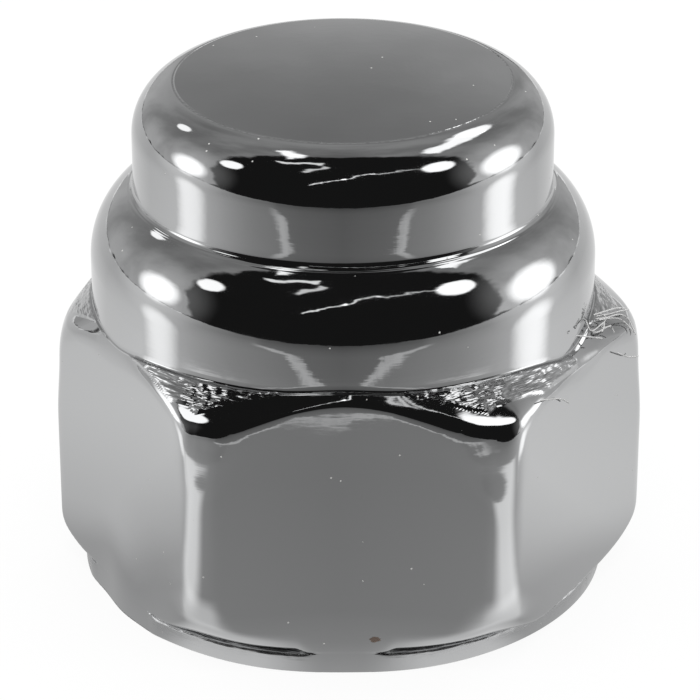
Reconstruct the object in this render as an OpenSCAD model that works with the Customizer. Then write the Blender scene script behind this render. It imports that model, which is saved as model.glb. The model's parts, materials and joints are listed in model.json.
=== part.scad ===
// Stepped-crown cap nut: one turned, buffed and chrome-plated piece of hexagon bar.
// The washer face stands on Z = 0, the thread opens downwards, and the crown points up.

/* [Hexagon] */
// Distance across the flats, which sets the spanner size
across_flats = 19; // [18.5:0.1:19.5]
// Buffed radius along the six upright edges
edge_r = 1.6; // [0.8:0.1:1.8]
// Slope of the turned chamfer that runs down from the crown's foot over the corners
chamfer_slope = 49; // [45:1:52]
// Radius that blends the chamfer into the upright corners
shoulder_r = 2.5; // [2:0.1:3]
// Height at which that radius leaves the upright corners
shoulder_z = 7.9; // [7.6:0.1:8.2]
// Radius under the corners, where the hexagon meets the washer face
under_r = 1.3; // [0.8:0.1:1.6]

/* [Washer face] */
// Diameter of the bearing ring
washer_d = 19.2; // [18.9:0.1:20]
// Height of the bearing ring
washer_h = 0.75; // [0.6:0.05:0.9]
// Rounding of the ring's upper edge, which opens a notch under the corners
washer_top_r = 0.2; // [0.1:0.05:0.3]
// Rounding of the ring's lower edge
washer_foot_r = 0.1; // [0.05:0.05:0.2]

/* [Crown] */
// Height of the whole nut
height = 19; // [18.6:0.1:20]
// Diameter of the lower step
step_d = 18.15; // [17.8:0.05:18.4]
// Height that the lower step's rounding would reach at its top
step_top = 15.15; // [14.8:0.05:15.5]
// Radius of the rounding on the lower step
step_r = 3; // [2.6:0.1:3.2]
// Diameter of the cap
cap_d = 15; // [14.6:0.1:15.4]
// Radius of the rounding on the cap
cap_r = 2; // [1.5:0.1:2.5]
// Sweep of the cap's rounding, from the upright wall to the faint edge of the dome
cap_sweep = 76; // [70:1:82]
// Rise of the domed end above that edge
dome_rise = 0.3; // [0.15:0.05:0.4]
// Radius of the coves at the foot of each step
cove_r = 0.3; // [0.15:0.05:0.5]

/* [Threaded hole] */
// Nominal diameter of the coarse metric thread
thread_d = 12; // [11:0.5:12]
// Pitch of the thread
thread_pitch = 1.75; // [1.5:0.25:1.75]
// Depth of the hole at full diameter
hole_depth = 13.5; // [11:0.5:14]
// Diameter of the countersunk mouth
mouth_d = 12.6; // [12.2:0.1:13.4]
// Included angle of the countersink
mouth_angle = 120; // [90:5:130]
// Included angle of the drill point that ends the hole
drill_angle = 118; // [110:2:140]

/* [Hidden] */
$fn = 128;

// Hexagon: distance from the axis of the edge roundings' centres
edge_centre = (across_flats / 2 - edge_r) / cos(30);

// Turned body: its radius just clears the corners, and its two roundings lie inside that
clearance = 0.05;
turned_r = edge_centre + edge_r + clearance;
under_centre = [turned_r - under_r, washer_h + under_r];
shoulder_centre = [turned_r - shoulder_r, shoulder_z];

// Chamfer: outward normal, lower end, and height of its upper end at the crown's foot
chamfer_normal = [sin(chamfer_slope), cos(chamfer_slope)];
chamfer_end = shoulder_centre + shoulder_r * chamfer_normal;
step_foot = chamfer_end[1] + (chamfer_end[0] - step_d / 2) * tan(chamfer_slope);

// Crown: centres of the two roundings, then the edge and the radius of the dome
cap_centre = [cap_d / 2 - cap_r, height - dome_rise - cap_r * sin(cap_sweep)];
step_centre = [step_d / 2 - step_r, step_top - step_r];
dome_edge = cap_centre[0] + cap_r * cos(cap_sweep);
dome_r = (pow(dome_edge, 2) + pow(dome_rise, 2)) / (2 * dome_rise);

// Coves: centre of each, and the point where it touches the surface below
step_cove = [step_d / 2 + cove_r,
    step_foot - cove_r * tan(chamfer_slope) + cove_r / cos(chamfer_slope)];
step_contact = step_cove - cove_r * chamfer_normal;
cap_cove_x = cap_d / 2 + cove_r;
cap_cove = [cap_cove_x,
    step_centre[1] + sqrt(pow(step_r + cove_r, 2) - pow(cap_cove_x - step_centre[0], 2))];
cap_contact = step_centre + step_r / (step_r + cove_r) * (cap_cove - step_centre);

// Hole: radius at the thread's crests, depth of the countersink and of the drill point
hole_r = (thread_d - 1.0825 * thread_pitch) / 2;
mouth_depth = (mouth_d / 2 - hole_r) / tan(mouth_angle / 2);
point_depth = hole_r / tan(drill_angle / 2);

// Hexagon with rounded corners
module hexagon_outline() {
    polygon([for (i = [0:5], side = [-30, 30])
        edge_centre * [cos(60 * i), sin(60 * i)]
        + edge_r * [cos(60 * i + side), sin(60 * i + side)]]);
    for (i = [0:5])
        rotate(60 * i)
            translate([edge_centre, 0])
                circle(edge_r);
}

// Half-section of the bearing ring, with its two rounded edges
module washer_section() {
    square([washer_d / 2 - washer_top_r, washer_h]);
    square([washer_d / 2 - washer_foot_r, washer_h - washer_top_r]);
    translate([0, washer_foot_r])
        square([washer_d / 2, washer_h - washer_foot_r - washer_top_r]);
    translate([washer_d / 2 - washer_foot_r, washer_foot_r])
        circle(washer_foot_r);
    translate([washer_d / 2 - washer_top_r, washer_h - washer_top_r])
        circle(washer_top_r);
}

// Half-section of the turned body that rounds the corners below and chamfers them above
module corner_section() {
    polygon([[0, washer_h], [under_centre[0], washer_h], [turned_r, under_centre[1]],
        [turned_r, shoulder_z], chamfer_end, [step_d / 2, step_foot], [0, step_foot]]);
    translate(under_centre)
        circle(under_r);
    translate(shoulder_centre)
        circle(shoulder_r);
}

// Half-section of a round boss whose upper edge has radius r
module boss_section(radius, centre, r) {
    square([radius, centre[1]]);
    square([centre[0], centre[1] + r]);
    translate(centre)
        circle(r);
}

// Cove round a centre, from an upright wall to the point where it touches the surface below
module cove_section(wall, centre, contact) {
    difference() {
        polygon([centre, [wall, centre[1]], [wall - cove_r, centre[1]],
            [wall - cove_r, contact[1]], contact]);
        translate(centre)
            circle(cove_r);
    }
}

// Two-step crown under a shallow dome
module crown_section() {
    boss_section(step_d / 2, step_centre, step_r);
    cove_section(step_d / 2, step_cove, step_contact);
    cove_section(cap_d / 2, cap_cove, cap_contact);
    intersection() {
        union() {
            boss_section(cap_d / 2, cap_centre, cap_r);
            square([cap_centre[0], height]);
        }
        translate([0, height - dome_r])
            circle(dome_r);
    }
}

// Blind hole at the thread's crest diameter
module threaded_hole() {
    translate([0, 0, -1])
        cylinder(h = hole_depth + 1, r = hole_r);
    translate([0, 0, hole_depth])
        cylinder(h = point_depth, r1 = hole_r, r2 = 0);
    cylinder(h = mouth_depth, r1 = mouth_d / 2, r2 = hole_r);
    translate([0, 0, -1])
        cylinder(h = 1, d = mouth_d);
}

module cap_nut() {
    color([0.72, 0.73, 0.74])
        difference() {
            union() {
                intersection() {
                    linear_extrude(height = step_foot)
                        hexagon_outline();
                    rotate_extrude() {
                        washer_section();
                        corner_section();
                    }
                }
                rotate_extrude()
                    crown_section();
            }
            threaded_hole();
        }
}

cap_nut();
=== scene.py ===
"""Chrome cap nut with a stepped crown: the detailed nut, the lint on it, and a small light tent."""
import json
import math

import bpy
import numpy as np
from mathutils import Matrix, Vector, noise


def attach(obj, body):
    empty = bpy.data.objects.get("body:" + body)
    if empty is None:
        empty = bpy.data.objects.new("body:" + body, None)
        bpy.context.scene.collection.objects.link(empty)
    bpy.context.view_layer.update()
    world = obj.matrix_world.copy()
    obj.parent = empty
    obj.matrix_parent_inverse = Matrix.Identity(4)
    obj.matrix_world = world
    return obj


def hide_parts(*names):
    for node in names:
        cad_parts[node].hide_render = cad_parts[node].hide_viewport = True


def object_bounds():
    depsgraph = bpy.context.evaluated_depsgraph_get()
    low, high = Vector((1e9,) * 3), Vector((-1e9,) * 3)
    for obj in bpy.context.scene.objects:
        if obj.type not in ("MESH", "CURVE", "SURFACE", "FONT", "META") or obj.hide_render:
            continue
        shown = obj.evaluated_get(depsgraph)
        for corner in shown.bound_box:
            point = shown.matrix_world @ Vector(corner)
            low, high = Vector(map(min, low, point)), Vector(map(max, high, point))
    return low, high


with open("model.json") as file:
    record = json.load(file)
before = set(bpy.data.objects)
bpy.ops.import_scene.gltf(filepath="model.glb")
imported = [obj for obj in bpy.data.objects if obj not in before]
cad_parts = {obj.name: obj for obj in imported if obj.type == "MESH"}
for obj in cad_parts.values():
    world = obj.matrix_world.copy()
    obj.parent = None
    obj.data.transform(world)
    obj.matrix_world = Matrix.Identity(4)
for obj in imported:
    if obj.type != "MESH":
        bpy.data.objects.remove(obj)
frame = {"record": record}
CAD_LOW, CAD_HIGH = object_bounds()

MM = 0.001
THREAD = next(m for m in frame["record"]["mounts"] if m["name"] == "thread")

# ---------------------------------------------------------------- sizes, in millimetres
# Directions round the nut are in degrees from +X, and the front flat faces -Y

HEIGHT = CAD_HIGH.z / MM
FRONT = -90

APOTHEM, EDGE_R = 9.5, 1.6
HEX_TURN = math.radians(0.6)    # the hexagon stands a little turned and off the crown's axis
HEX_SHIFT = (0.225, 0.08)
CORNERS = [60 * i for i in range(6)]
CORNER_HALF = 20                # degrees to either side of a corner that count as the corner
STEEP_FLATS = (-150, -30, 30, 150)
LEFT_FLARE, FLARE_TOP = (0.22, -147, 9), 4.8    # the left flat flares at its foot, as a swell()

# The bearing ring: drawn in at the front, and run out where the hexagon's radius is within RING_OUT
RING_R, RING_H, RING_EDGE, RING_FOOT = 9.6, 0.75, 0.12, 0.1
RING_DRAWN_IN = (0.13, FRONT, 14)
RING_OUT = (9.47, 9.58)
NOTCH_R, NOTCH_TOP = 9.0, 0.82  # the notch between the ring and the corners, painted dark as shade
UNDER_CENTRE, UNDER_R, UNDER_SWEEP, UNDER_ROWS = (9.47, 2.05), 1.3, 70, 14
UNDER_OUT = (9.47, 9.6)         # as RING_OUT, for the deeper cut under the front corners
# How far that rounding stands out on the right and is cut in at the front, from its foot to its top
UNDER_RIGHT, UNDER_FRONT = (0.06, 0.2), (0.56, 0.15)
UNDER_SIDES = 0.05              # and out on both sides
FLAT_ROWS = (2.6, 3.2, 4.0, 4.6, 5.2)   # heights of the rows up the plain flats

# The shoulder's half-section about its own axis: an arc, then a straight chamfer
SHOULDER_CENTRE, SHOULDER_R = (8.272, 7.9), 2.5
CHAMFER_SLOPE = math.radians(49)
CHAMFER_START = (SHOULDER_CENTRE[0] + SHOULDER_R * math.sin(CHAMFER_SLOPE),
                 SHOULDER_CENTRE[1] + SHOULDER_R * math.cos(CHAMFER_SLOPE))
BLEND_Z, ARCH_Z = 5.6, 9.4      # where the shoulder's rows start, and where the chamfer's take over
SHARP = 0.02                    # width of the crease where two surfaces meet unbuffed
# Widths over which buffing rounds the meeting with the hexagon, and what is added to them at the
# corners, and then at the front or, for the shoulder, on the steep flats
UNDER_BLEND, SHOULDER_BLEND = (0.1, -0.06, 0.08), (0.035, 0.19, 0.25)

# How hand buffing left it uneven: each (size, direction, degrees to either side) is a swell()
CHAMFER_OUT, CHAMFER_IN = ((0.18, FRONT, 13), (-0.12, -26, 24)), 0.04
CHAMFER_STEEP = ((0.22, FRONT, 13), *((0.5, flat, 16) for flat in STEEP_FLATS))
LEAN_TOP, LEAN_FOOT = 10.8, 9.2     # heights between which the chamfer's lean grows downwards
FRONT_LEAN = 0.1
SIDES_IN = 0.08                     # how much closer the chamfer's top stands on the left and right
# How far out the shoulder stands on both sides, how much more on the right, and behind
SIDES_OUT, RIGHT_OUT, BACK_OUT = 0.15, 0.23, 0.4
SHOULDER_IN = 0.07                  # how much farther in it is all round
EDGE_IN, EDGE_OUT = 0.2, 0.12       # to either side of the front flat's upright edges

STEP_R, STEP_TOP, STEP_EDGE = 9.075, 15.15, 3.0
STEP_COVE = 0.1
CAP_R, CAP_EDGE, CAP_SWEEP, CAP_COVE = 7.5, 2.0, 76, 0.3
DOME_RISE = 0.3
DOME_EDGE = CAP_R - CAP_EDGE + CAP_EDGE * math.cos(math.radians(CAP_SWEEP))

THREAD_CREST = THREAD["dims"]["r_mm"]
THREAD_PITCH = 1.75
THREAD_ROOT = THREAD_CREST + 0.54 * THREAD_PITCH
THREAD_ROWS = 14                # rows to each pitch
ROOT_HALF, FLANK = 1 / 16, 3 / 8    # in pitches
RUN_OUT, THREAD_END = 1.0, 1.2      # length of its run-out, and how far short of the hole it ends
MOUTH_R, MOUTH_DEPTH, HOLE_DEPTH, POINT_DEPTH = 6.3, 0.72, 13.5, 3.04

# Levels of the "unbuffed" attribute, from 0 for buffed metal, up to the notch's level, which is
# painted shade
PITTED, SHADED_LEVEL = 0.8, 2
PIT_DEPTH = 0.02
# The unbuffed crescents above the corners, and the strips (direction, half width) on the outer corners
CRESCENT, CRESCENT_TAPER, CRESCENT_EDGE = 0.92, 1.3, 0.82
STRIPS, STRIP_MARGIN, STRIP_WIDTH = ((-131, 12), (-45, 16)), 0.16, 0.78

# Dust on the front flat (place, size), and the brown stain at its foot, where x is narrowed to 0.6
DUST = (((-2.7, -9.42, 7.0), 0.03), ((-0.4, -9.42, 7.75), 0.035), ((0.7, -9.42, 3.7), 0.03),
        ((0.7, -9.42, 5.25), 0.02))
STAIN, STAIN_SIZE = (0.68, -9.42, 1.35), 0.13

COLUMNS = 600       # round the outside
BORE_COLUMNS = 100  # round the hole
THETA = np.linspace(0, 2 * math.pi, COLUMNS, endpoint=False)


# ---------------------------------------------------------------- small helpers

def arc(centre, radius, start, stop, count):
    """Points (r, z) along an arc, from start to stop degrees above the horizontal."""
    angles = np.radians(np.linspace(start, stop, count))
    return [(centre[0] + radius * math.cos(a), centre[1] + radius * math.sin(a)) for a in angles]


def soft_min(a, b, k):
    """The smaller of a and b, with the crease between them rounded over a width of about k."""
    low = np.minimum(a, b)
    return low - k * np.log(np.exp(-(a - low) / k) + np.exp(-(b - low) / k))


def smooth(x, start, stop):
    """0 at start, 1 at stop, with a smooth passage between them."""
    t = np.clip((x - start) / (stop - start), 0, 1)
    return t * t * (3 - 2 * t)


def band(x, rise, fall):
    """1 from the end of rise to the start of fall, with a smooth passage over each of the two."""
    return smooth(x, *rise) * smooth(x, fall[1], fall[0])


def degrees_from(theta, degrees):
    """How many degrees each angle lies from the one given, -180 to 180."""
    return (np.degrees(theta) - degrees + 180) % 360 - 180


def swell(theta, size, degrees, width):
    """The size in one direction, falling to about a third of it at width degrees to either side."""
    return size * np.exp(-(degrees_from(theta, degrees) / width) ** 2)


def corner_reach(theta):
    """1 at each corner, falling straight to 0 at CORNER_HALF to either side."""
    near = np.min([np.abs(degrees_from(theta, c)) for c in CORNERS], axis=0)
    return np.clip(1 - near / CORNER_HALF, 0, 1)


# ---------------------------------------------------------------- the nut's shape

def hexagon_radius(theta):
    """Distance from the crown's axis to the rounded, turned and shifted hexagon, at each angle."""
    reach = (APOTHEM - EDGE_R) / math.cos(math.pi / 6)
    edge_points, flat_points = 60, 90
    points = []
    for degrees in CORNERS:
        mid = math.radians(degrees) + HEX_TURN
        ends = []
        for corner, facing in ((mid, mid + math.pi / 6), (mid + math.pi / 3, mid + math.pi / 6)):
            ends.append((reach * math.cos(corner) + EDGE_R * math.cos(facing),
                         reach * math.sin(corner) + EDGE_R * math.sin(facing)))
        for a in np.linspace(mid - math.pi / 6, mid + math.pi / 6, edge_points):
            points.append((reach * math.cos(mid) + EDGE_R * math.cos(a),
                           reach * math.sin(mid) + EDGE_R * math.sin(a)))
        points += [tuple(p) for p in np.linspace(ends[0], ends[1], flat_points)[1:-1]]
    points = np.array(points) + HEX_SHIFT
    angles = np.arctan2(points[:, 1], points[:, 0])
    return np.interp(theta, angles, np.hypot(points[:, 0], points[:, 1]), period=2 * math.pi)


def shoulder_radius(z):
    """Radius of the shoulder's half-section at a height."""
    rise = np.clip(z - SHOULDER_CENTRE[1], 0, CHAMFER_START[1] - SHOULDER_CENTRE[1])
    bend = SHOULDER_CENTRE[0] + np.sqrt(SHOULDER_R ** 2 - rise ** 2)
    chamfer = np.maximum(z - CHAMFER_START[1], 0) / math.tan(CHAMFER_SLOPE)
    return bend - chamfer - SHOULDER_IN * (1 - smooth(z, 8.4, 9.6))


def foot_shift(theta):
    """How much farther out the chamfer's top stands on each side, because it is buffed unevenly."""
    return sum(swell(theta, *place) for place in CHAMFER_OUT) - CHAMFER_IN


def chamfer_lean(theta):
    """How much farther the chamfer spreads for each millimetre down; negative where it is steeper.

    It spreads more towards the front. Over the middle of a flat it is steep, and the flats beside the
    front one and the back one run up into the crown.
    """
    front = FRONT_LEAN * np.maximum(-np.sin(theta), 0)
    return front - sum(swell(theta, *place) for place in CHAMFER_STEEP)


def beside_front(theta, z):
    """Outward shift by the front flat's upright edges: in on the front's side, out on the other."""
    off = np.abs(degrees_from(theta, FRONT))
    inside = band(off, (12, 24), (27, 34)) * band(z, (6.2, 8.2), (8.6, 9.8))
    outside = band(off, (31, 37), (42, 50)) * (1 - smooth(z, ARCH_Z, 10.6))
    return EDGE_OUT * outside - EDGE_IN * inside


def shoulder_at(theta, z):
    """Distance from the crown's axis to the shoulder or the chamfer."""
    lean = chamfer_lean(theta) * (LEAN_TOP - np.maximum(z, LEAN_FOOT))
    side = SIDES_OUT + RIGHT_OUT * np.cos(theta)
    side = side * (1 - smooth(z, 9.0, 10.6)) - SIDES_IN * smooth(z, ARCH_Z, 10.4)
    back = BACK_OUT * np.maximum(np.sin(theta), 0) * (1 - smooth(z, 7.9, 9.2))
    shift = foot_shift(theta) + lean + side * np.cos(theta) ** 2 + back
    return shoulder_radius(z) + shift + beside_front(theta, z)


def foot_height(theta):
    """Height at which the chamfer comes within the cove's reach of the crown's wall."""
    lean, run = chamfer_lean(theta), 1 / math.tan(CHAMFER_SLOPE)
    start = CHAMFER_START[0] + foot_shift(theta) - SIDES_IN * np.cos(theta) ** 2 - STEP_R - STEP_COVE
    return (start + CHAMFER_START[1] * run + LEAN_TOP * lean) / (run + lean)


def left_foot(theta, z):
    """How much farther out the left flat stands at its foot, where it runs down over the ring."""
    return swell(theta, *LEFT_FLARE) * (1 - smooth(z, 0.9, FLARE_TOP))


def ring_rows(hexagon):
    """Rows from the hole's mouth up the bearing ring to its notch, which is painted dark as shade;
    both run out into the flats.
    """
    flush = 1 - smooth(hexagon, *RING_OUT)
    ring = RING_R - swell(THETA, *RING_DRAWN_IN)
    wall = ring - RING_FOOT
    rows = [(MOUTH_R, 0, 0), (MOUTH_R + 0.5, 0, 0), (wall - 0.5, 0, 0)]
    for r, z in arc((wall, RING_FOOT), RING_FOOT, -90, 0, 4):
        rows.append((soft_min(r, hexagon, SHARP) + left_foot(THETA, z), z, 0))
    top = (ring - RING_EDGE, RING_H - RING_EDGE)
    above = [(r, z, PITTED) for r, z in arc(top, RING_EDGE, 0, 80, 4)]
    # The notch's rows carry the level for painted shade: a dark line between the ring and the corners
    above += [(NOTCH_R, z, SHADED_LEVEL) for z in (RING_H + 0.01, NOTCH_TOP)]
    for r, z, level in above:
        r = soft_min(r + (ring - r) * flush, hexagon, SHARP) + left_foot(THETA, z)
        rows.append((r, z, level * (1 - flush)))
    return rows


def under_rows(hexagon):
    """Rows up the rounding under the corners, which cuts deeper at the front."""
    front = (1 - smooth(np.abs(degrees_from(THETA, FRONT)), 30, 48)) * smooth(hexagon, *UNDER_OUT)
    even, at_corner, at_front = UNDER_BLEND
    blend = even + at_corner * corner_reach(THETA) + at_front * front
    section = arc(UNDER_CENTRE, UNDER_R, -UNDER_SWEEP, 0, UNDER_ROWS)
    rows = []
    for t, (r, z) in zip(np.linspace(0, 1, UNDER_ROWS), section):
        shift = np.interp(t, (0, 1), UNDER_RIGHT) * np.cos(THETA) + UNDER_SIDES * np.cos(THETA) ** 2
        shift -= np.interp(t, (0, 1), UNDER_FRONT) * front
        rows.append((soft_min(r + shift, hexagon, blend) + left_foot(THETA, z), z, 0))
    return rows


def crescent_width(hexagon):
    """How far out from the crown's wall the metal is unbuffed, at each angle."""
    width = CRESCENT * corner_reach(THETA) ** CRESCENT_TAPER
    on_strip = np.max([np.abs(degrees_from(THETA, at)) < half for at, half in STRIPS], axis=0)
    strip = np.minimum(hexagon - STEP_R - STRIP_MARGIN, STRIP_WIDTH)
    return np.where(on_strip, np.maximum(width, strip), width)


def shoulder_rows(hexagon):
    """Rows up the shoulder and the chamfer, each blended into the flats and the upright edges."""
    beside = np.clip(-chamfer_lean(THETA), 0, 1) * (np.abs(degrees_from(THETA, FRONT)) > 30)
    even, at_corner, at_beside = SHOULDER_BLEND
    full = even + at_corner * corner_reach(THETA) + at_beside * beside
    rows = []
    for z in np.linspace(BLEND_Z, ARCH_Z, 20):
        blend = SHARP + (full - SHARP) * smooth(z, BLEND_Z - 0.2, 8.2)
        rows.append((soft_min(shoulder_at(THETA, z), hexagon, blend), z, 0))
    width = crescent_width(hexagon)
    for t in np.linspace(0, 1, 34)[1:]:
        z = ARCH_Z + (foot_height(THETA) - ARCH_Z) * t
        r = soft_min(shoulder_at(THETA, z), hexagon, full)
        inside = 1 - smooth(r - STEP_R, width * CRESCENT_EDGE, width + 0.01)
        rows.append((r, z, inside * (width > 0.02)))
    return rows


def crown_rows(foot, foot_level):
    """Rows up the crown from its foot: wall, rounding, cove, the cap's wall and rounding, the dome."""
    step = (STEP_R - STEP_EDGE, STEP_TOP - STEP_EDGE)
    dome_height = HEIGHT - DOME_RISE
    cap = (CAP_R - CAP_EDGE, dome_height - CAP_EDGE * math.sin(math.radians(CAP_SWEEP)))
    dome_r = (DOME_EDGE ** 2 + DOME_RISE ** 2) / (2 * DOME_RISE)
    cove_r = CAP_R + CAP_COVE
    cove_z = step[1] + math.sqrt((STEP_EDGE + CAP_COVE) ** 2 - (cove_r - step[0]) ** 2)
    touch = math.degrees(math.atan2(cove_z - step[1], cove_r - step[0]))

    # The cove and the wall above it, in coves out and up, and in parts of the foot's level
    rows = [(STEP_R + STEP_COVE * out, foot + STEP_COVE * up, foot_level * part)
            for out, up, part in ((0.55, 0.05, 0.8), (0.18, 0.3, 0.4), (0, 1, 0), (0, 2.6, 0))]
    rows += [(r, z, 0) for r, z in arc(step, STEP_EDGE, 0, touch, 19)]
    rows += [(r, z, 0) for r, z in arc((cove_r, cove_z), CAP_COVE, touch + 180, 180, 7)[1:]]
    rows += [(CAP_R, cove_z + 0.25, 0), (CAP_R, cap[1] - 0.3, 0)]
    rows += [(r, z, 0) for r, z in arc(cap, CAP_EDGE, 0, CAP_SWEEP, 17)]
    for r in (DOME_EDGE - 0.06, 5.4, 4.4, 3.2, 2.0, 1.0, 0.3):
        rows.append((r, HEIGHT - dome_r + math.sqrt(dome_r ** 2 - r ** 2), 0))
    return rows


def outer_grid():
    """Vertices of the outside, one row per point of the section, and how unbuffed each one is and
    where it is painted in shade.
    """
    hexagon = hexagon_radius(THETA)
    rows = ring_rows(hexagon) + under_rows(hexagon)
    rows += [(hexagon + left_foot(THETA, z), z, 0) for z in FLAT_ROWS]
    rows += shoulder_rows(hexagon)
    foot, foot_level = rows[-1][1:]
    rows += crown_rows(foot, foot_level)
    grid = np.zeros((len(rows), COLUMNS, 3))
    levels = np.zeros((len(rows), COLUMNS))
    for i, (r, z, level) in enumerate(rows):
        grid[i] = np.stack([r * np.cos(THETA), r * np.sin(THETA), np.broadcast_to(z, COLUMNS)], -1)
        levels[i] = level
    return grid, levels


def add_pits(grid, levels):
    """Leave the metal pitted where the buff didn't reach: shift its vertices by a fine noise."""
    for i, j in zip(*np.nonzero((levels > 0.05) & (levels < 1.5))):
        p = Vector(grid[i, j])
        pit = noise.noise(p * 4.5) + 0.7 * noise.noise(p * 11)
        out = Vector((p.x, p.y, 6)).normalized()
        grid[i, j] += np.array(out) * PIT_DEPTH * pit * levels[i, j]


def thread_radius(theta, z):
    """Radius of the countersink and the helical thread at a height, with the thread's run-out."""
    phase = (z / THREAD_PITCH - theta / (2 * math.pi)) % 1.0
    flank = np.clip((np.abs(phase - 0.5) - ROOT_HALF) / FLANK, 0, 1)
    run_out = np.clip((HOLE_DEPTH - THREAD_END - z) / RUN_OUT, 0, 1)
    thread = THREAD_CREST + (THREAD_ROOT - THREAD_CREST) * (1 - flank) * run_out
    return np.maximum(thread, MOUTH_R - (MOUTH_R - THREAD_CREST) * z / MOUTH_DEPTH)


def bore_grid():
    """Vertices of the countersink, the helical thread and the drill point, from the mouth inwards."""
    theta = np.linspace(0, 2 * math.pi, BORE_COLUMNS, endpoint=False)
    heights = np.arange(0.1, HOLE_DEPTH, THREAD_PITCH / THREAD_ROWS)
    rows = [(MOUTH_R, 0.0)] + [(thread_radius(theta, z), z) for z in heights]
    rows += [(THREAD_CREST, HOLE_DEPTH), (1.2, HOLE_DEPTH + POINT_DEPTH * 0.76)]
    grid = np.zeros((len(rows), BORE_COLUMNS, 3))
    for i, (r, z) in enumerate(rows):
        grid[i] = np.stack([r * np.cos(theta), r * np.sin(theta), np.full(BORE_COLUMNS, z)], -1)
    return grid


# ---------------------------------------------------------------- the nut's mesh

def tube_faces(first, rows, columns, flip=False):
    """Quads between the rows of a closed grid whose first vertex has the index given."""
    faces = []
    for i in range(rows - 1):
        for j in range(columns):
            k = (j + 1) % columns
            a, b = first + i * columns, first + (i + 1) * columns
            quad = (a + j, a + k, b + k, b + j)
            faces.append(quad[::-1] if flip else quad)
    return faces


def mouth_faces(first):
    """Fans that join the fine row at the mouth to the coarse rows of the hole."""
    ratio = COLUMNS // BORE_COLUMNS
    faces = []
    for j in range(BORE_COLUMNS):
        k = (j + 1) % BORE_COLUMNS
        fine = [(j * ratio + n) % COLUMNS for n in range(ratio + 1)]
        for n in range(ratio):
            apex = first + (j if n < ratio // 2 else k)
            faces.append((fine[n + 1], fine[n], apex))
        faces.append((fine[ratio // 2], first + j, first + k))
    return faces


def add_mesh(name, vertices, faces, mat):
    """A smooth-shaded object from vertices in millimetres."""
    mesh = bpy.data.meshes.new(name)
    mesh.from_pydata((np.asarray(vertices, float) * MM).tolist(), [], faces)
    mesh.update()
    mesh.polygons.foreach_set("use_smooth", [True] * len(mesh.polygons))
    mesh.materials.append(mat)
    thing = bpy.data.objects.new(name, mesh)
    bpy.context.collection.objects.link(thing)
    return thing


def build_nut(mat):
    """The nut as one closed mesh, with how unbuffed each vertex is, and where the notch is painted in
    shade, as an attribute.
    """
    outer, outer_levels = outer_grid()
    add_pits(outer, outer_levels)
    bore = bore_grid()
    base = outer.shape[0] * COLUMNS
    vertices = np.concatenate([outer.reshape(-1, 3), bore[1:].reshape(-1, 3),
                               [[0, 0, HEIGHT], [0, 0, HOLE_DEPTH + POINT_DEPTH]]])
    faces = tube_faces(0, outer.shape[0], COLUMNS)
    faces += tube_faces(base, bore.shape[0] - 1, BORE_COLUMNS, flip=True)
    faces += mouth_faces(base)
    top, tip = len(vertices) - 2, len(vertices) - 1
    last = (outer.shape[0] - 1) * COLUMNS
    faces += [(last + j, last + (j + 1) % COLUMNS, top) for j in range(COLUMNS)]
    last = base + (bore.shape[0] - 2) * BORE_COLUMNS
    faces += [(last + (j + 1) % BORE_COLUMNS, last + j, tip) for j in range(BORE_COLUMNS)]

    nut = add_mesh("nut", vertices, faces, mat)
    levels = np.zeros(len(vertices))
    levels[:outer_levels.size] = outer_levels.ravel()
    attribute = nut.data.attributes.new("unbuffed", "FLOAT", "POINT")
    attribute.data.foreach_set("value", levels)
    return nut


# ---------------------------------------------------------------- shader nodes

class Graph:
    """Short calls for building a node tree; a value is a number or another node's output."""

    def __init__(self, tree):
        self.nodes, self.links = tree.nodes, tree.links
        self.nodes.clear()

    def put(self, socket, value):
        """Give an input its value, or link it to the output that has it."""
        if isinstance(value, bpy.types.NodeSocket):
            self.links.new(value, socket)
        else:
            socket.default_value = value

    def node(self, kind, values=None, **settings):
        """A new node with its settings, and its inputs by name or by number."""
        node = self.nodes.new(kind)
        for name, value in settings.items():
            setattr(node, name, value)
        for name, value in (values or {}).items():
            self.put(node.inputs[name], value)
        return node

    def math(self, operation, a, b=0.0, c=0.0, clamp=False):
        """Result of one operation on up to three values."""
        values = {0: a, 1: b, 2: c}
        return self.node("ShaderNodeMath", values, operation=operation, use_clamp=clamp).outputs[0]

    def chain(self, operation, *values):
        """All the values added or multiplied together, as the operation says."""
        result = values[0]
        for value in values[1:]:
            result = self.math(operation, result, value)
        return result

    def vector(self, operation, a, b=(0, 0, 0)):
        """Result of one operation on up to two vectors."""
        node = self.node("ShaderNodeVectorMath", {0: a, 1: b}, operation=operation)
        return node.outputs["Value" if operation in ("DOT_PRODUCT", "LENGTH") else "Vector"]

    def step(self, value, start, stop, low=0.0, high=1.0):
        """Smooth passage from low to high as the value goes from start to stop."""
        values = {"Value": value, "From Min": start, "From Max": stop, "To Min": low, "To Max": high}
        return self.node("ShaderNodeMapRange", values, interpolation_type="SMOOTHSTEP").outputs[0]

    def band(self, value, rise, fall):
        """1 from the end of rise to the start of fall, with a smooth passage over each of the two."""
        return self.math("MULTIPLY", self.step(value, *rise), self.step(value, fall[1], fall[0]))

    def curve(self, value, points):
        """Value read off straight stretches between the points (value, result)."""
        result = points[0][1]
        for (x0, y0), (x1, y1) in zip(points, points[1:]):
            values = {"Value": value, "From Min": x0, "From Max": x1, "To Min": 0.0, "To Max": y1 - y0}
            part = self.node("ShaderNodeMapRange", values, interpolation_type="LINEAR").outputs[0]
            result = self.math("ADD", result, part)
        return result

    def noise(self, vector, scale, detail=2.0, stretch=(1, 1, 1)):
        """Noise between 0 and 1, finer along an axis where the stretch is more."""
        vector = self.vector("MULTIPLY", vector, stretch)
        values = {"Vector": vector, "Scale": scale, "Detail": detail}
        return self.node("ShaderNodeTexNoise", values).outputs["Fac"]

    def output(self, shader):
        """Use the shader as the material's surface."""
        self.node("ShaderNodeOutputMaterial", {"Surface": shader})


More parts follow.
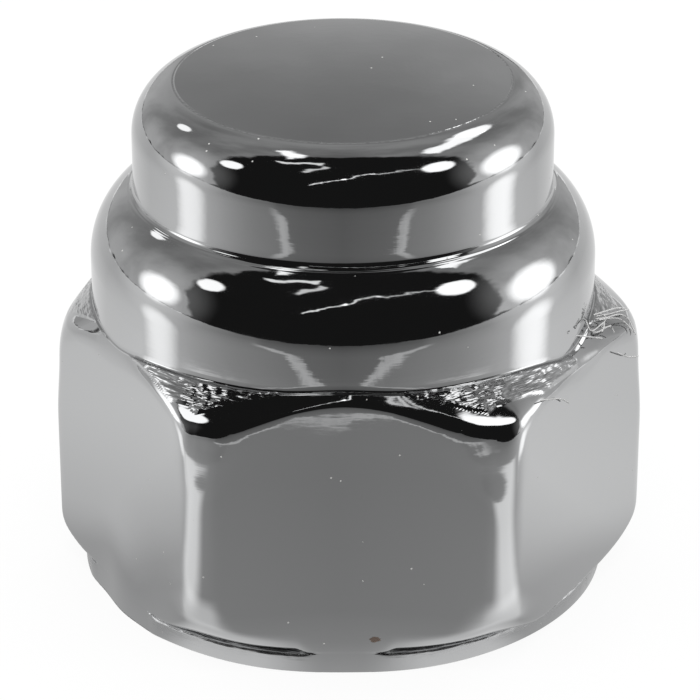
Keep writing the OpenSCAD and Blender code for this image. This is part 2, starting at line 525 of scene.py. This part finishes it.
def new_graph(name):
    """A new material and the graph that builds its nodes."""
    mat = bpy.data.materials.new(name)
    mat.use_nodes = True
    return mat, Graph(mat.node_tree)


# ---------------------------------------------------------------- the nut's and the lint's materials

# The second colour is painted shade: near-black for the notch between the ring and the corners
CHROME, NOTCH_SHADE = (0.56, 0.565, 0.57, 1), (0.03, 0.03, 0.03, 1)
LINT, RUST = (0.8, 0.8, 0.78, 1), (0.16, 0.1, 0.07, 1)
# Roughness of the buffed metal, clean and smeared, and what unbuffed metal adds, above and on the ring
CLEAN, SMEARED = 0.03, 0.075
DULL, DULL_RING = 0.06, 0.3
# Depths of the surface's small shapes, in millimetres
RIPPLE_DEPTH, STREAK_DEPTH, GRAIN_DEPTH, GROOVE_DEPTH = 0.0026, 0.0009, 0.05, 0.025
# The lathe's rings: their heights, the radii they end at, radians to a millimetre, and their depth
LATHE_Z, LATHE_R = ((14.3, 14.4), (14.7, 14.85)), (7.8, 7.65)
LATHE_WAVE, LATHE_DEPTH = 52, 0.004


def turning_rings(g, z, radius):
    """Height of the fine rings that the lathe left at the foot of the cap's wall."""
    near = g.math("MULTIPLY", g.band(z, *LATHE_Z), g.step(radius, *LATHE_R))
    return g.chain("MULTIPLY", g.math("SINE", g.math("MULTIPLY", z, LATHE_WAVE)), near, LATHE_DEPTH)


def dome_groove(g, place, z, radius):
    """Height of the faint, broken groove round the dome."""
    near = g.step(g.math("ABSOLUTE", g.math("SUBTRACT", radius, DOME_EDGE)), 0.06, 0.0)
    high = g.step(z, HEIGHT - 1, HEIGHT - 0.6)
    return g.chain("MULTIPLY", near, high, g.noise(place, 6.0), -GROOVE_DEPTH)


def surface_height(g, place, unbuffed):
    """Height of the surface's ripples, streaks, grain, rings and groove, in millimetres."""
    x, y, z = g.node("ShaderNodeSeparateXYZ", {0: place}).outputs
    radius = g.vector("LENGTH", g.vector("MULTIPLY", place, (1, 1, 0)))
    round_it = g.math("MULTIPLY", g.math("ARCTAN2", x, g.math("MULTIPLY", y, -1.0)), 10.0)
    unrolled = g.node("ShaderNodeCombineXYZ", {0: round_it, 1: radius, 2: z}).outputs[0]
    ripples = g.math("MULTIPLY", g.noise(place, 1.3), RIPPLE_DEPTH)
    streaks = g.math("MULTIPLY", g.noise(unrolled, 1.0, 3.0, (0.5, 6, 6)), STREAK_DEPTH)
    fine = g.math("MULTIPLY", g.noise(unrolled, 5.0, 1.0, (0.3, 2, 2)), 0.5)
    grain = g.math("ADD", g.noise(unrolled, 1.7, 1.0, (0.6, 1.6, 1.6)), fine)
    grain = g.chain("MULTIPLY", grain, unbuffed, GRAIN_DEPTH)
    turned = g.math("ADD", turning_rings(g, z, radius), dome_groove(g, place, z, radius))
    return g.chain("ADD", ripples, streaks, grain, turned)


def spot(g, place, centre, size):
    """1 within a small ragged spot on the surface."""
    ragged = g.math("MULTIPLY", g.noise(place, 12.0), size)
    reach = g.math("ADD", g.vector("LENGTH", g.vector("SUBTRACT", place, centre)), ragged)
    return g.step(reach, size * 1.5, size * 1.2)


def dust(g, place):
    """1 on the specks of dust: a sprinkling all over, and the ones on the front flat."""
    cells = g.node("ShaderNodeTexVoronoi", {"Vector": place, "Scale": 1.1}).outputs["Distance"]
    specks = g.step(cells, 0.045, 0.03)
    for centre, size in DUST:
        specks = g.math("MAXIMUM", specks, spot(g, place, centre, size))
    return specks


def chrome_material():
    """Buffed chrome with smears, dust and a stain, grainy where the buff didn't reach, and painted
    dark shade in the notch over the ring.
    """
    mat, g = new_graph("chrome")
    place = g.vector("MULTIPLY", g.node("ShaderNodeTexCoord").outputs["Object"], (1 / MM,) * 3)
    z = g.node("ShaderNodeSeparateXYZ", {0: place}).outputs["Z"]
    level = g.node("ShaderNodeAttribute", attribute_name="unbuffed").outputs["Fac"]
    unbuffed = g.math("MINIMUM", level, 1.0)

    values = {"Strength": 1.0, "Distance": MM, "Height": surface_height(g, place, unbuffed)}
    bump = g.node("ShaderNodeBump", values).outputs[0]
    smears = g.noise(place, 0.35, 4.0, (1, 1, 1.4))
    dull = g.math("MULTIPLY", unbuffed, g.step(z, 1.5, 1.2, DULL, DULL_RING))
    roughness = g.math("ADD", g.step(smears, 0.4, 0.7, CLEAN, SMEARED), dull)
    # Painted shade: near-black in the notch over the ring, and very faintly where the crescents are
    # fully unbuffed
    painted_shade = g.step(level, 0.9, 1.6)
    metal = g.node("ShaderNodeMix", {0: painted_shade, 6: CHROME, 7: NOTCH_SHADE}, data_type="RGBA").outputs[2]
    values = {"Base Color": metal, "Metallic": 1.0, "Roughness": roughness, "Normal": bump}
    shader = g.node("ShaderNodeBsdfPrincipled", values).outputs[0]

    lint = g.node("ShaderNodeBsdfDiffuse", {"Color": LINT}).outputs[0]
    shader = g.node("ShaderNodeMixShader", {0: dust(g, place), 1: shader, 2: lint}).outputs[0]
    rust = g.node("ShaderNodeBsdfDiffuse", {"Color": RUST}).outputs[0]
    stain = spot(g, g.vector("MULTIPLY", place, (0.6, 1, 1)), STAIN, STAIN_SIZE)
    stain = g.math("MULTIPLY", stain, 0.8)
    g.output(g.node("ShaderNodeMixShader", {0: stain, 1: shader, 2: rust}).outputs[0])
    return mat


def lint_material():
    """Pale fluff, a little uneven along each fibre."""
    mat, g = new_graph("lint")
    place = g.node("ShaderNodeTexCoord").outputs["Object"]
    tones = {0: g.noise(place, 900.0), 6: (0.75, 0.75, 0.74, 1), 7: (0.95, 0.95, 0.95, 1)}
    tone = g.node("ShaderNodeMix", tones, data_type="RGBA").outputs[2]
    g.output(g.node("ShaderNodeBsdfPrincipled", {"Base Color": tone, "Roughness": 0.8}).outputs[0])
    return mat


# ---------------------------------------------------------------- lint

FIBRE_R, FIBRE_SIDES = 0.026, 6
FIBRE_LIFT = (0, -0.16, 0.08)    # clear of the chrome, towards the front
# The fibres caught on the right corner, each through these points
FIBRES = (
    ((9.0, -2.3, 10.5), (9.5, -1.5, 10.2), (10.0, -0.6, 9.9), (10.4, 0.2, 9.6)),
    ((9.1, -2.4, 10.4), (9.7, -1.6, 10.1), (10.1, -1.0, 9.7), (10.5, -0.9, 9.2)),
    ((8.2, -4.1, 10.6), (8.7, -3.8, 10.4), (9.2, -3.3, 10.1)),
    ((8.6, -3.0, 10.7), (8.8, -3.3, 10.4), (9.3, -2.4, 10.3), (9.2, -2.8, 10.1)),
    ((9.0, -2.5, 10.5), (9.4, -2.0, 10.3), (9.9, -1.3, 10.1), (10.3, -0.6, 9.6), (10.6, -0.7, 9.0)),
    ((9.1, -2.2, 10.6), (9.4, -1.8, 10.2), (9.2, -2.6, 10.2), (9.6, -2.0, 10.0)),
    ((8.9, -2.6, 10.7), (9.2, -2.0, 10.5), (9.8, -1.2, 10.3), (10.2, -0.8, 10.1)),
    ((8.7, -3.4, 10.5), (9.0, -3.0, 10.2), (9.5, -2.3, 10.1), (9.7, -2.2, 9.8)),
    ((9.8, -2.4, 9.1), (10.3, -1.5, 8.5), (10.7, -1.0, 8.3)),
    ((6.8, -7.4, 9.7), (7.2, -6.9, 9.5), (7.6, -6.3, 9.2), (7.9, -5.8, 8.8)),
)


def smooth_path(points, per_span=7):
    """Points along a smooth curve through the given points."""
    points = np.array([points[0], *points, points[-1]], float)
    path = []
    for p0, p1, p2, p3 in zip(points, points[1:], points[2:], points[3:]):
        for t in np.linspace(0, 1, per_span, endpoint=False):
            bend = 2 * p0 - 5 * p1 + 4 * p2 - p3
            twist = 3 * p1 - p0 - 3 * p2 + p3
            path.append(0.5 * (2 * p1 + (p2 - p0) * t + bend * t ** 2 + twist * t ** 3))
    path.append(points[-2])
    return np.array(path)


def build_fibre(name, points, mat):
    """A thin closed tube along a curve."""
    path = smooth_path(np.array(points) + FIBRE_LIFT)
    vertices = []
    for i, p in enumerate(path):
        along = Vector(path[min(i + 1, len(path) - 1)] - path[max(i - 1, 0)]).normalized()
        across = along.orthogonal().normalized()
        other = along.cross(across)
        taper = FIBRE_R * (0.4 if i in (0, len(path) - 1) else 1)
        for k in range(FIBRE_SIDES):
            a = 2 * math.pi * k / FIBRE_SIDES
            vertices.append(Vector(p) + (across * math.cos(a) + other * math.sin(a)) * taper)
    faces = tube_faces(0, len(path), FIBRE_SIDES)
    faces.append(tuple(range(FIBRE_SIDES))[::-1])
    faces.append(tuple(range(len(vertices) - FIBRE_SIDES, len(vertices))))
    fibre = add_mesh(name, vertices, faces, mat)
    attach(fibre, "root")


# ---------------------------------------------------------------- the light tent

def direction(azimuth, elevation):
    """Unit vector: azimuth in degrees from the front, to the right; elevation above the floor."""
    a, e = math.radians(azimuth), math.radians(elevation)
    return Vector((math.sin(a) * math.cos(e), -math.cos(a) * math.cos(e), math.sin(e)))


# Lamps behind the tent's cloth: azimuth, elevation, radius, soft edge (degrees), strength
LAMPS = (
    (-90, 10, 6, 9, 1.4), (95, 12, 9, 9, 1.4),
    (-72, 38, 5, 2, 1.7), (64, 43, 7, 2, 1.8),
    (-130, 37, 3, 1.5, 1.4), (140, 48, 5, 2, 1.5),
    (-90, 10, 0, 34, 0.18), (95, 12, 0, 38, 0.22),      # glows round the two big lamps
    (-90, -20, 0, 12, 0.7), (94, -20, 2, 12, 0.85),     # their reflections in the table
)
# Gaps between its sheets: from (azimuth, elevation) to (azimuth, elevation), half width, strength
STREAKS = (
    ((-17, 33), (0, 45), 0.7, 1.2), ((0, 45), (20, 52), 0.6, 1.3), ((20, 52), (60, 46), 0.5, 0.9),
    ((-120, 74), (-85, 76), 3.0, 1.6), ((-60, 66), (-30, 73), 1.5, 1.2),
    ((-28, 56), (-18, 68), 1.5, 0.9), ((105, 62), (135, 50), 4.0, 1.5),
)

# The grey cloth: (sine of the elevation, strength)
CLOTH_LIGHT = (
    (-0.1, 0.47), (0.17, 0.42), (0.34, 0.36), (0.5, 0.31), (0.74, 0.24), (0.87, 0.28), (0.97, 0.28),
    (1.0, 0.18),
)
ROOM_LIGHT = 0.012      # everywhere on the tent, and in the dark opening too
# The card by the direction in degrees from the front, and by the distance from the nut's middle in
# CARD_UNIT, the radius of the hexagon's sharp corners: (value, strength)
CARD_UNIT = APOTHEM / math.cos(math.pi / 6) * MM
SIDE_LIGHT = (
    (0, 0.0), (20, 0.04), (45, 0.13), (60, 0.2), (75, 0.3), (90, 0.4), (120, 0.28), (150, 0.38),
    (180, 0.55),
)
FRONT_LIGHT = (
    (0.8, 0.5), (0.98, 0.4), (1.05, 0.35), (1.25, 0.3), (2.2, 0.27), (2.75, 0.25), (2.95, 0.22),
    (3.7, 0.19), (5.0, 0.15), (7.0, 0.1),
)


def cloth_light(g, ray, y, z):
    """The tent's grey cloth in soft folds, down to the table, with the dark opening in front."""
    folds = g.step(g.noise(ray, 3.0, 4.0, (1, 1, 0.4)), 0.3, 0.7, 0.75, 1.25)
    front = g.math("MULTIPLY_ADD", g.math("MAXIMUM", z, 0.0), 0.35, g.math("MULTIPLY", y, -1.0))
    opening = g.math("MULTIPLY", g.step(front, 0.32, 0.38), g.step(z, -0.19, -0.17))
    beside = g.math("SUBTRACT", 1.0, opening)
    return g.chain("MULTIPLY", g.curve(z, CLOTH_LIGHT), folds, g.step(z, -0.03, 0.0), beside)


def lamp_light(g, ray):
    """The lamps behind the cloth."""
    light = 0.0
    for azimuth, elevation, radius, edge, strength in LAMPS:
        near = g.vector("DOT_PRODUCT", ray, direction(azimuth, elevation))
        edges = math.cos(math.radians(radius + edge)), math.cos(math.radians(radius))
        light = g.math("ADD", light, g.step(near, *edges, 0.0, strength))
    return light


def streak_light(g, jagged):
    """The bright gaps between the sheets of cloth."""
    light = 0.0
    for start, stop, width, strength in STREAKS:
        a, b = direction(*start), direction(*stop)
        across = g.math("ABSOLUTE", g.vector("DOT_PRODUCT", jagged, a.cross(b).normalized()))
        along = g.vector("DOT_PRODUCT", jagged, (a + b).normalized())
        half = math.sin(math.radians(width))
        reach = math.cos(a.angle(b) / 2 + math.radians(width))
        within = g.step(across, half * 1.4, half * 0.6)
        glow = g.math("MULTIPLY", within, g.step(along, reach - 0.003, reach))
        light = g.math("MULTIPLY_ADD", glow, strength, light)
    return light


def tent_material():
    """The tent as the nut sees it: grey cloth, lamps behind it, and a dark opening in front."""
    mat, g = new_graph("tent")
    ray = g.vector("NORMALIZE", g.node("ShaderNodeNewGeometry").outputs["Position"])
    wave = g.node("ShaderNodeTexNoise", {"Vector": ray, "Scale": 6.0, "Detail": 6.0}).outputs["Color"]
    shake = g.vector("MULTIPLY", g.vector("SUBTRACT", wave, (0.5, 0.5, 0.5)), (0.2, 0.2, 0.2))
    jagged = g.vector("NORMALIZE", g.vector("ADD", ray, shake))
    _, y, z = g.node("ShaderNodeSeparateXYZ", {0: jagged}).outputs
    lamps = g.math("ADD", lamp_light(g, ray), streak_light(g, jagged))
    light = g.chain("ADD", cloth_light(g, ray, y, z), lamps, ROOM_LIGHT)
    g.output(g.node("ShaderNodeEmission", {"Strength": light}).outputs[0])
    return mat


def even_light(g, azimuth, distance):
    """The card's light by direction and distance: bright beside and behind, dark ahead."""
    side = g.math("MULTIPLY", g.curve(azimuth, SIDE_LIGHT), g.step(distance, 0.4, 2.2))
    beside = g.chain("MULTIPLY", g.step(azimuth, 40, 90), g.step(distance, 0.95, 1.3), 0.2)
    return g.chain("ADD", side, g.curve(distance, FRONT_LIGHT), beside)


def patch_light(g, x, azimuth, distance):
    """The patches that light the ring's foot, the under-corners, the upright edges and the right."""
    foot = g.chain("MULTIPLY", g.band(azimuth, (3, 20), (33, 45)), g.step(distance, 1.12, 0.98), 0.35)
    under = g.band(distance, (0.98, 1.08), (1.2, 1.4))
    under = g.chain("MULTIPLY", g.band(azimuth, (18, 30), (48, 62)), under, 0.4)
    turned = g.math("ADD", azimuth, g.step(x, -0.1, 0.1, 0.0, 7.0))
    edges = g.band(distance, (1.0, 1.4), (2.6, 2.85))
    edges = g.chain("MULTIPLY", g.band(turned, (34, 47), (57, 70)), edges, 0.62)
    right = g.chain("MULTIPLY", g.step(x, 0.3, 1.2), g.step(distance, 2.1, 1.2), 0.12)
    return g.chain("ADD", foot, under, edges, right)


def add_seam(g, light, place, azimuth, crease):
    """The light with the creased bright seam across the front, and the darker card beyond it."""
    x, y, _ = g.node("ShaderNodeSeparateXYZ", {0: place}).outputs
    side = g.math("ABSOLUTE", x)
    line = g.math("MULTIPLY_ADD", side, 0.4, g.math("ADD", y, 2.33))
    line = g.math("MULTIPLY_ADD", crease, 0.5, line)
    line = g.math("MULTIPLY_ADD", g.noise(place, 22.0, 3.0), 0.1, line)
    ahead = g.step(azimuth, 38, 30)
    beyond = g.math("MULTIPLY", g.step(line, 0.0, -0.03), ahead)
    light = g.math("MULTIPLY", light, g.step(beyond, 0.0, 1.0, 1.0, 0.78))
    wide = g.math("MULTIPLY_ADD", side, 0.08, 0.05)
    seam = g.step(g.math("DIVIDE", g.math("ABSOLUTE", line), wide), 1.2, 0.4)
    return g.math("ADD", light, g.chain("MULTIPLY", seam, ahead, 0.33))


def card_material():
    """The floor as the nut sees it: lit in patches, dark and creased in front, and clear far off."""
    mat, g = new_graph("card")
    position = g.node("ShaderNodeNewGeometry").outputs["Position"]
    place = g.vector("MULTIPLY", position, (1 / CARD_UNIT,) * 3)
    x, y, _ = g.node("ShaderNodeSeparateXYZ", {0: place}).outputs
    ahead = g.math("MULTIPLY", y, -1.0)
    distance = g.vector("LENGTH", place)
    azimuth = g.math("DEGREES", g.math("ABSOLUTE", g.math("ARCTAN2", x, ahead)))
    crease = g.noise(place, 1.6, 8.0)

    light = g.math("ADD", even_light(g, azimuth, distance), patch_light(g, x, azimuth, distance))
    light = add_seam(g, light, place, azimuth, crease)
    rim = g.math("MULTIPLY_ADD", crease, 1.6, ahead)
    light = g.math("MULTIPLY", light, g.step(rim, 8.6, 8.2))
    glow = g.node("ShaderNodeEmission", {"Strength": light}).outputs[0]
    clear = g.node("ShaderNodeBsdfTransparent").outputs[0]
    clear = g.node("ShaderNodeMixShader", {0: g.step(distance, 2.15, 2.5), 2: clear}).outputs[0]
    g.output(g.node("ShaderNodeAddShader", {0: glow, 1: clear}).outputs[0])
    return mat


def only_reflected(thing):
    """Stage a part of the light tent, outside the picture, that shows only in the chrome."""
    thing.visible_camera = False
    thing.visible_diffuse = False
    thing.visible_shadow = False


def add_sheet(name, half, height, mat):
    """A square sheet on or just over the floor."""
    corners = [(x * half, y * half, height) for x, y in ((-1, -1), (1, -1), (1, 1), (-1, 1))]
    return add_mesh(name, corners, [(0, 1, 2, 3)], mat)


def add_tent():
    """The tent round the nut and the card under it."""
    rows, columns, radius, lowest, highest = 32, 48, 900, -60, 89.5
    vertices = []
    for elevation in np.radians(np.linspace(lowest, highest, rows)):
        level, z = radius * math.cos(elevation), radius * math.sin(elevation)
        for turn in np.linspace(0, 2 * math.pi, columns, endpoint=False):
            vertices.append((level * math.cos(turn), level * math.sin(turn), z))
    faces = tube_faces(0, rows, columns)
    faces.append(tuple(range((rows - 1) * columns, rows * columns)))
    only_reflected(add_mesh("tent", vertices, faces, tent_material()))
    only_reflected(add_sheet("card", 400, 0.02, card_material()))


def add_floor():
    """Pale floor: white to the camera, with the soft shadow of the nut on it."""
    mat, g = new_graph("floor")
    path = g.node("ShaderNodeLightPath").outputs
    seen = g.math("ADD", path["Is Camera Ray"], path["Is Glossy Ray"])
    seen = g.math("ADD", seen, path["Is Transmission Ray"], clamp=True)
    paper = g.node("ShaderNodeBsdfDiffuse", {"Color": (0.12, 0.12, 0.12, 1)}).outputs[0]
    glow = g.node("ShaderNodeEmission", {"Strength": g.math("MULTIPLY", seen, 0.9)}).outputs[0]
    g.output(g.node("ShaderNodeAddShader", {0: paper, 1: glow}).outputs[0])
    floor = add_sheet("floor", 2000, 0, mat)
    floor.visible_glossy = False    # the card stands in for it in the chrome
    world = bpy.data.worlds.new("world")
    bpy.context.scene.world = world
    world.use_nodes = True
    world.node_tree.nodes["Background"].inputs["Color"].default_value = (1, 1, 1, 1)


def add_camera():
    """Where the photographer stood: in front of one flat, looking down at it."""
    elevation = math.radians(25.8)
    target = Vector((0.251, 0.0, 8.056)) * MM
    distance = 130.67 * MM
    data = bpy.data.cameras.new("camera")
    data.lens = 183.9
    data.sensor_width = 36
    data.clip_start = 0.001
    camera = bpy.data.objects.new("camera", data)
    bpy.context.collection.objects.link(camera)
    back = Vector((0, -math.cos(elevation), math.sin(elevation)))
    camera.location = target + back * distance
    camera.rotation_euler = (math.pi / 2 - elevation, 0, 0)
    bpy.context.scene.camera = camera


nut = build_nut(chrome_material())
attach(nut, "root")
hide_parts("cap_nut")
lint = lint_material()
for number, fibre_points in enumerate(FIBRES, 1):
    build_fibre(f"lint_{number}", fibre_points, lint)
add_tent()
add_floor()
add_camera()

scene = bpy.context.scene
scene.view_settings.view_transform = "Standard"
